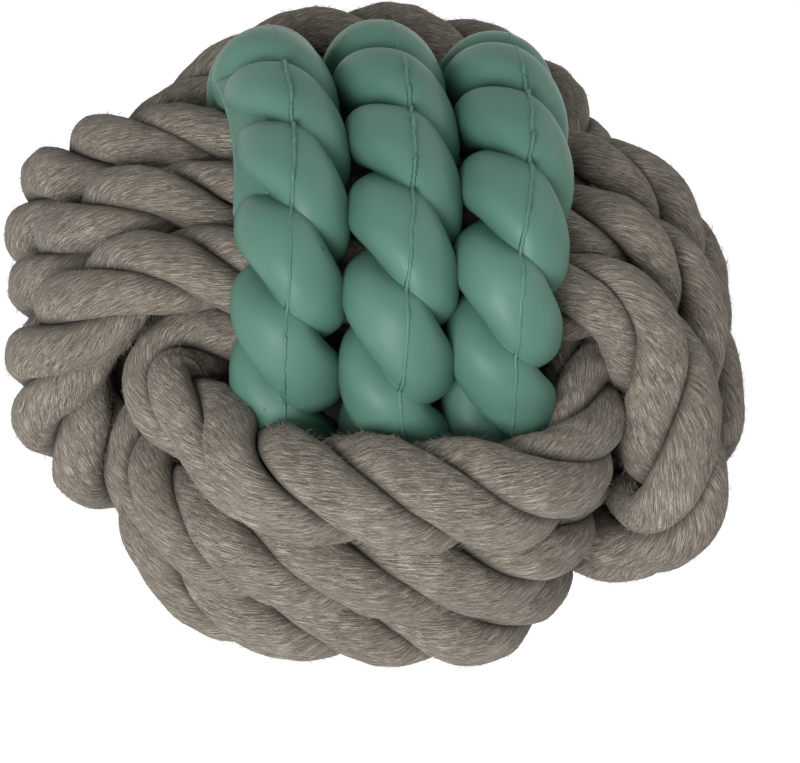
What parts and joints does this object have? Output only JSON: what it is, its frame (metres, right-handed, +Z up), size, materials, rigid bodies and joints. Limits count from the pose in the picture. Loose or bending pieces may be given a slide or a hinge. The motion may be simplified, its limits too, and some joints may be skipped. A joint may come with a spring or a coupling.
{
  "type": "rope dog toy",
  "caption": "Knotted ball of thick grey rope bound round with twisted green rubber rings, for a dog to chew, fetch and tug.",
  "frame": {"origin": "on the floor, under the middle of the ball", "axes": "+Z up, with the rubber rings over the top and underneath; +X to the right across the rings and -Y to the front, where the camera stood"},
  "size_m": [0.1378, 0.1356, 0.119],
  "materials": {
    "green_rubber": "satin moulded rubber, muted mint green",
    "grey_cotton": "matt, fuzzy heather grey cotton",
    "core_rubber": "plain matt"
  },
  "bodies": {
    "root": {"rubber_ring_left": "green_rubber", "rubber_ring_middle": "green_rubber", "rubber_ring_right": "green_rubber", "grey_rope": "grey_cotton", "core_ball": "core_rubber"}
  },
  "joints": []
}
